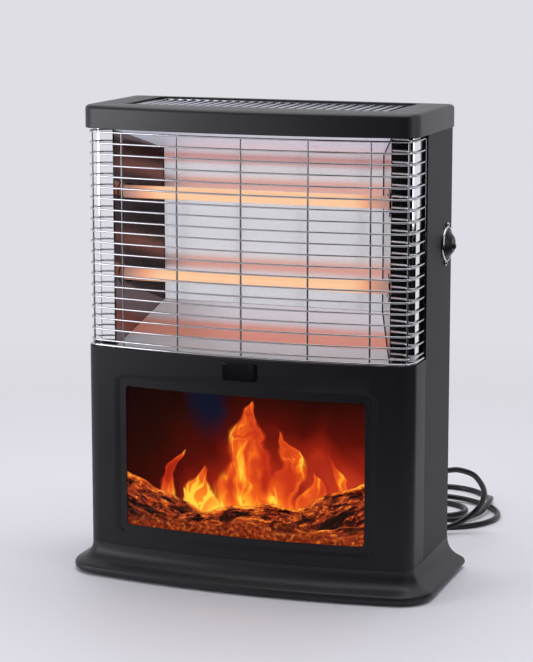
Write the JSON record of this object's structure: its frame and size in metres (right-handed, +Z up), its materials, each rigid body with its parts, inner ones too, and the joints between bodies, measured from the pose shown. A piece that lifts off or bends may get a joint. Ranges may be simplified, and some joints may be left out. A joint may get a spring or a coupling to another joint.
{
  "type": "electric heater",
  "caption": "Free-standing radiant heater with quartz tubes behind a bowed wire guard, a flame-effect window below, a side selector knob and a coiled mains cord.",
  "frame": {"origin": "on the floor, under the middle of the heater's width and depth, measured without the cord", "axes": "+Z up, -Y to the front the heater faces, +X to the right as seen from the front"},
  "size_m": [0.444, 0.5534, 0.556],
  "materials": {
    "base_skirt": "fine satin grain, near black",
    "foot_front_left": "moulded rubber",
    "foot_front_right": "moulded rubber",
    "foot_rear_left": "moulded rubber",
    "foot_rear_right": "moulded rubber",
    "left_side_panel": "matte powder coat, dark grey",
    "right_side_panel": "matte powder coat, dark grey",
    "rear_panel": "matte powder coat, dark grey",
    "rear_screw_lower_left": "zinc plated",
    "rear_screw_upper_left": "zinc plated",
    "rear_screw_lower_right": "zinc plated",
    "rear_screw_upper_right": "zinc plated",
    "front_fascia": "fine satin grain, near black",
    "window_pane": "clear smoked acrylic, gloss",
    "flame_screen": "printed flame picture, lit from behind",
    "badge_plate": "bare gloss black plate",
    "light_box": "light grey, plain",
    "lamp_board": "green circuit board",
    "divider_shelf": "matte black",
    "reflector_back": "satin bright metal",
    "reflector_bottom": "satin bright metal",
    "reflector_top": "satin bright metal",
    "left_end_plate": "bright metal",
    "right_end_plate": "bright metal",
    "left_corner_mirror": "polished metal",
    "right_corner_mirror": "polished metal",
    "upper_quartz_tube": "milky quartz, glowing orange",
    "lower_quartz_tube": "milky quartz, glowing orange",
    "upper_element": "hot resistance wire",
    "lower_element": "hot resistance wire",
    "upper_left_ceramic": "unglazed ceramic",
    "upper_right_ceramic": "unglazed ceramic",
    "lower_left_ceramic": "unglazed ceramic",
    "lower_right_ceramic": "unglazed ceramic",
    "left_tube_bracket": "plain plated sheet",
    "right_tube_bracket": "plain plated sheet",
    "thermal_cutout": "pressed metal cap",
    "wire_guard": "bright plated wire",
    "top_cap": "fine satin grain, near black",
    "top_grille": "bright plated bars",
    "selector_switch": "plain moulded case",
    "selector_shaft": "plain turned steel",
    "selector_knob": "satin black",
    "knob_bezel": "bright plated",
    "bezel_screw_1": "bright plated",
    "bezel_screw_2": "bright plated",
    "tip_switch": "plain moulded case",
    "tip_plunger": "white moulded pin",
    "terminal_block": "unglazed ceramic",
    "cord_gland": "black strain relief",
    "cord_lead": "black flexible cord",
    "cord_coil": "black flexible cord",
    "cord_tail": "black flexible cord",
    "plug_body": "moulded black plug",
    "plug_pin_near": "nickel plated",
    "plug_pin_far": "nickel plated",
    "supply_wire": "red insulated wire",
    "upper_tube_wire": "red insulated wire",
    "lower_tube_wire": "red insulated wire",
    "link_wire": "red insulated wire"
  },
  "bodies": {
    "heater": {"base_skirt": "base_skirt", "foot_front_left": "foot_front_left", "foot_front_right": "foot_front_right", "foot_rear_left": "foot_rear_left", "foot_rear_right": "foot_rear_right", "left_side_panel": "left_side_panel", "right_side_panel": "right_side_panel", "rear_panel": "rear_panel", "rear_screw_lower_left": "rear_screw_lower_left", "rear_screw_upper_left": "rear_screw_upper_left", "rear_screw_lower_right": "rear_screw_lower_right", "rear_screw_upper_right": "rear_screw_upper_right", "front_fascia": "front_fascia", "window_pane": "window_pane", "flame_screen": "flame_screen", "badge_plate": "badge_plate", "light_box": "light_box", "lamp_board": "lamp_board", "divider_shelf": "divider_shelf", "reflector_back": "reflector_back", "reflector_bottom": "reflector_bottom", "reflector_top": "reflector_top", "left_end_plate": "left_end_plate", "right_end_plate": "right_end_plate", "left_corner_mirror": "left_corner_mirror", "right_corner_mirror": "right_corner_mirror", "upper_quartz_tube": "upper_quartz_tube", "lower_quartz_tube": "lower_quartz_tube", "upper_element": "upper_element", "lower_element": "lower_element", "upper_left_ceramic": "upper_left_ceramic", "upper_right_ceramic": "upper_right_ceramic", "lower_left_ceramic": "lower_left_ceramic", "lower_right_ceramic": "lower_right_ceramic", "left_tube_bracket": "left_tube_bracket", "right_tube_bracket": "right_tube_bracket", "thermal_cutout": "thermal_cutout", "wire_guard": "wire_guard", "top_cap": "top_cap", "top_grille": "top_grille", "selector_switch": "selector_switch", "knob_bezel": "knob_bezel", "bezel_screw_1": "bezel_screw_1", "bezel_screw_2": "bezel_screw_2", "tip_switch": "tip_switch", "terminal_block": "terminal_block", "cord_gland": "cord_gland", "cord_lead": "cord_lead", "cord_coil": "cord_coil", "cord_tail": "cord_tail", "plug_body": "plug_body", "plug_pin_near": "plug_pin_near", "plug_pin_far": "plug_pin_far", "supply_wire": "supply_wire", "upper_tube_wire": "upper_tube_wire", "lower_tube_wire": "lower_tube_wire", "link_wire": "link_wire"},
    "knob": {"selector_knob": "selector_knob", "selector_shaft": "selector_shaft"},
    "plunger": {"tip_plunger": "tip_plunger"}
  },
  "joints": [
    {"name": "knob_turn", "type": "hinge", "parent": "heater", "child": "knob", "pos_m": [0.2, 0.0751, 0.3946], "axis": [1, 0, 0], "range_deg": [0, 270]},
    {"name": "plunger_slide", "type": "slide", "parent": "heater", "child": "plunger", "axis": [0, 0, -1], "range_m": [0, 0.0045], "stiffness_N_per_m": 50, "springref_m": 0.0045}
  ]
}
